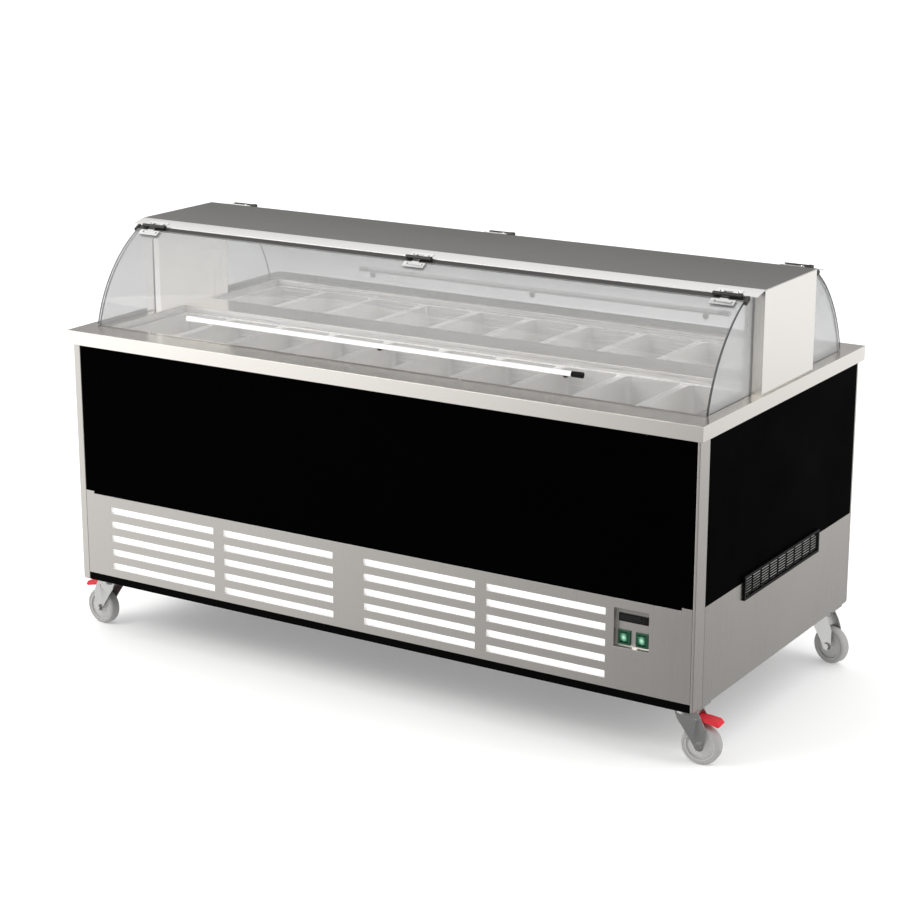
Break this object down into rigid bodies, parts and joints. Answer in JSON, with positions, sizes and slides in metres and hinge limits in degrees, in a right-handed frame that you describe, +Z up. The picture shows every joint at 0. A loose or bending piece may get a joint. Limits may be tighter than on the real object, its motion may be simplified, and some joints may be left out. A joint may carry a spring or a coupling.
{
  "type": "mobile_salad_bar",
  "caption": "Mobile refrigerated salad bar with black panels, stainless louvres, a flat canopy, hinged curved glass at front and rear, two rows of pans and four swivel casters",
  "frame": {"origin": "centre of the footprint on the floor", "axes": "X along the counter, the louvred front with the switches faces -Y, Z up"},
  "size_m": [1.9682, 0.968, 1.117],
  "materials": {
    "brushed": "brushed stainless sheet, satin",
    "deck_steel": "stainless worktop, smooth satin with a soft sheen",
    "canopy_steel": "fine brushed stainless canopy",
    "pan_steel": "deep-drawn stainless, bright satin",
    "black_panel": "deep black laminate, low sheen",
    "black_paint": "black powder coat",
    "grey_paint": "mid grey powder coat",
    "zinc": "zinc-plated steel",
    "bright": "polished stainless",
    "clear_glass": "clear tempered glass",
    "clear_plastic": "clear soft plastic",
    "dark_rubber": "dark rubber profile",
    "wheel_rubber": "grey moulded wheel",
    "pedal_red": "red moulded plastic",
    "switch_green": "dark green switch frame",
    "rocker_green": "pale translucent green rocker",
    "display_black": "black display window",
    "filter_white": "white fibre filter mat",
    "foam": "yellow rigid foam",
    "white_plastic": "white plastic pipe",
    "black_plastic": "black moulded plastic",
    "shell_black": "black enamelled steel shell",
    "aluminium": "aluminium fins",
    "copper": "bare copper pipe",
    "box_grey": "grey moulded box"
  },
  "bodies": {
    "cabinet": {"chassis_long_rails": "grey_paint", "chassis_cross_rails": "grey_paint", "floor_pan": "brushed", "kick_strips": "black_paint", "corner_posts": "brushed", "top_rails": "grey_paint", "middle_rails": "grey_paint", "front_upper_panel": "black_panel", "rear_upper_panel": "black_panel", "end_upper_panels": "black_panel", "front_louvre_panel": "brushed", "rear_louvre_panel": "brushed", "end_lower_panels": "brushed", "end_grille": "black_plastic", "air_filters": "filter_white", "worktop": "deck_steel", "well_liner": "brushed", "well_insulation": "foam", "front_pans": "pan_steel", "rear_pans": "pan_steel", "pan_support_bars": "brushed", "end_columns": "brushed", "canopy_top": "canopy_steel", "cheek_glasses": "clear_glass", "canopy_seals": "dark_rubber", "hinge_fixed_leaves": "bright", "glass_bumpers": "clear_plastic", "control_box": "brushed", "thermostat": "display_black", "switch_frames": "switch_green", "compressor": "shell_black", "condenser": "aluminium", "fan_motor": "black_paint", "evaporator": "aluminium", "refrigerant_pipes": "copper", "drain_pipe": "white_plastic", "electrical_box": "box_grey", "cable_gland": "black_plastic", "caster_mounts": "zinc"},
    "front_window": {"front_glass": "clear_glass", "front_hinge_clamps": "bright", "front_handle": "bright", "front_handle_mounts": "black_plastic"},
    "rear_window": {"rear_glass": "clear_glass", "rear_hinge_clamps": "bright", "rear_handle": "bright", "rear_handle_mounts": "black_plastic"},
    "rocker_l": {"left_rocker": "rocker_green"},
    "rocker_r": {"right_rocker": "rocker_green"},
    "fan": {"fan_blade": "black_plastic"},
    "swivel_fl": {"caster_fork_fl": "zinc"},
    "roller_fl": {"wheel_fl": "wheel_rubber"},
    "swivel_fr": {"caster_fork_fr": "zinc"},
    "roller_fr": {"wheel_fr": "wheel_rubber"},
    "swivel_rl": {"caster_fork_rl": "zinc"},
    "roller_rl": {"wheel_rl": "wheel_rubber"},
    "swivel_rr": {"caster_fork_rr": "zinc"},
    "roller_rr": {"wheel_rr": "wheel_rubber"},
    "pedal_fl": {"brake_pedal_fl": "pedal_red"},
    "pedal_fr": {"brake_pedal_fr": "pedal_red"}
  },
  "joints": [
    {"name": "front_glass_hinge", "type": "hinge", "parent": "cabinet", "child": "front_window", "pos_m": [0, -0.20746, 1.10726], "axis": [-1, 0, 0], "range_deg": [0, 145]},
    {"name": "rear_glass_hinge", "type": "hinge", "parent": "cabinet", "child": "rear_window", "pos_m": [0, 0.20746, 1.10726], "axis": [1, 0, 0], "range_deg": [0, 145]},
    {"name": "left_rocker_pivot", "type": "hinge", "parent": "cabinet", "child": "rocker_l", "pos_m": [0.748, -0.454, 0.304], "axis": [-1, 0, 0], "range_deg": [0, 18]},
    {"name": "right_rocker_pivot", "type": "hinge", "parent": "cabinet", "child": "rocker_r", "pos_m": [0.796, -0.454, 0.304], "axis": [-1, 0, 0], "range_deg": [0, 18]},
    {"name": "condenser_fan_spin", "type": "hinge", "parent": "cabinet", "child": "fan", "pos_m": [-0.18, -0.328, 0.324], "axis": [0, -1, 0], "continuous": true},
    {"name": "caster_swivel_fl", "type": "hinge", "parent": "cabinet", "child": "swivel_fl", "pos_m": [-0.895, -0.404, 0.13], "axis": [0, 0, 1], "continuous": true},
    {"name": "wheel_spin_fl", "type": "hinge", "parent": "swivel_fl", "child": "roller_fl", "pos_m": [-0.93286, -0.40069, 0.05], "axis": [-0.0872, -0.9962, 0], "continuous": true},
    {"name": "brake_pedal_pivot_fl", "type": "hinge", "parent": "swivel_fl", "child": "pedal_fl", "pos_m": [-0.92489, -0.40139, 0.116], "axis": [-0.0872, -0.9962, 0], "range_deg": [0, 18]},
    {"name": "caster_swivel_fr", "type": "hinge", "parent": "cabinet", "child": "swivel_fr", "pos_m": [0.895, -0.404, 0.13], "axis": [0, 0, 1], "continuous": true},
    {"name": "wheel_spin_fr", "type": "hinge", "parent": "swivel_fr", "child": "roller_fr", "pos_m": [0.93286, -0.40069, 0.05], "axis": [-0.0872, 0.9962, 0], "continuous": true},
    {"name": "brake_pedal_pivot_fr", "type": "hinge", "parent": "swivel_fr", "child": "pedal_fr", "pos_m": [0.92489, -0.40139, 0.116], "axis": [-0.0872, 0.9962, 0], "range_deg": [0, 18]},
    {"name": "caster_swivel_rl", "type": "hinge", "parent": "cabinet", "child": "swivel_rl", "pos_m": [-0.895, 0.404, 0.13], "axis": [0, 0, 1], "continuous": true},
    {"name": "wheel_spin_rl", "type": "hinge", "parent": "swivel_rl", "child": "roller_rl", "pos_m": [-0.93171, 0.39416, 0.05], "axis": [0.2588, -0.9659, 0], "continuous": true},
    {"name": "caster_swivel_rr", "type": "hinge", "parent": "cabinet", "child": "swivel_rr", "pos_m": [0.895, 0.404, 0.13], "axis": [0, 0, 1], "continuous": true},
    {"name": "wheel_spin_rr", "type": "hinge", "parent": "swivel_rr", "child": "roller_rr", "pos_m": [0.93171, 0.39416, 0.05], "axis": [0.2588, 0.9659, 0], "continuous": true}
  ]
}
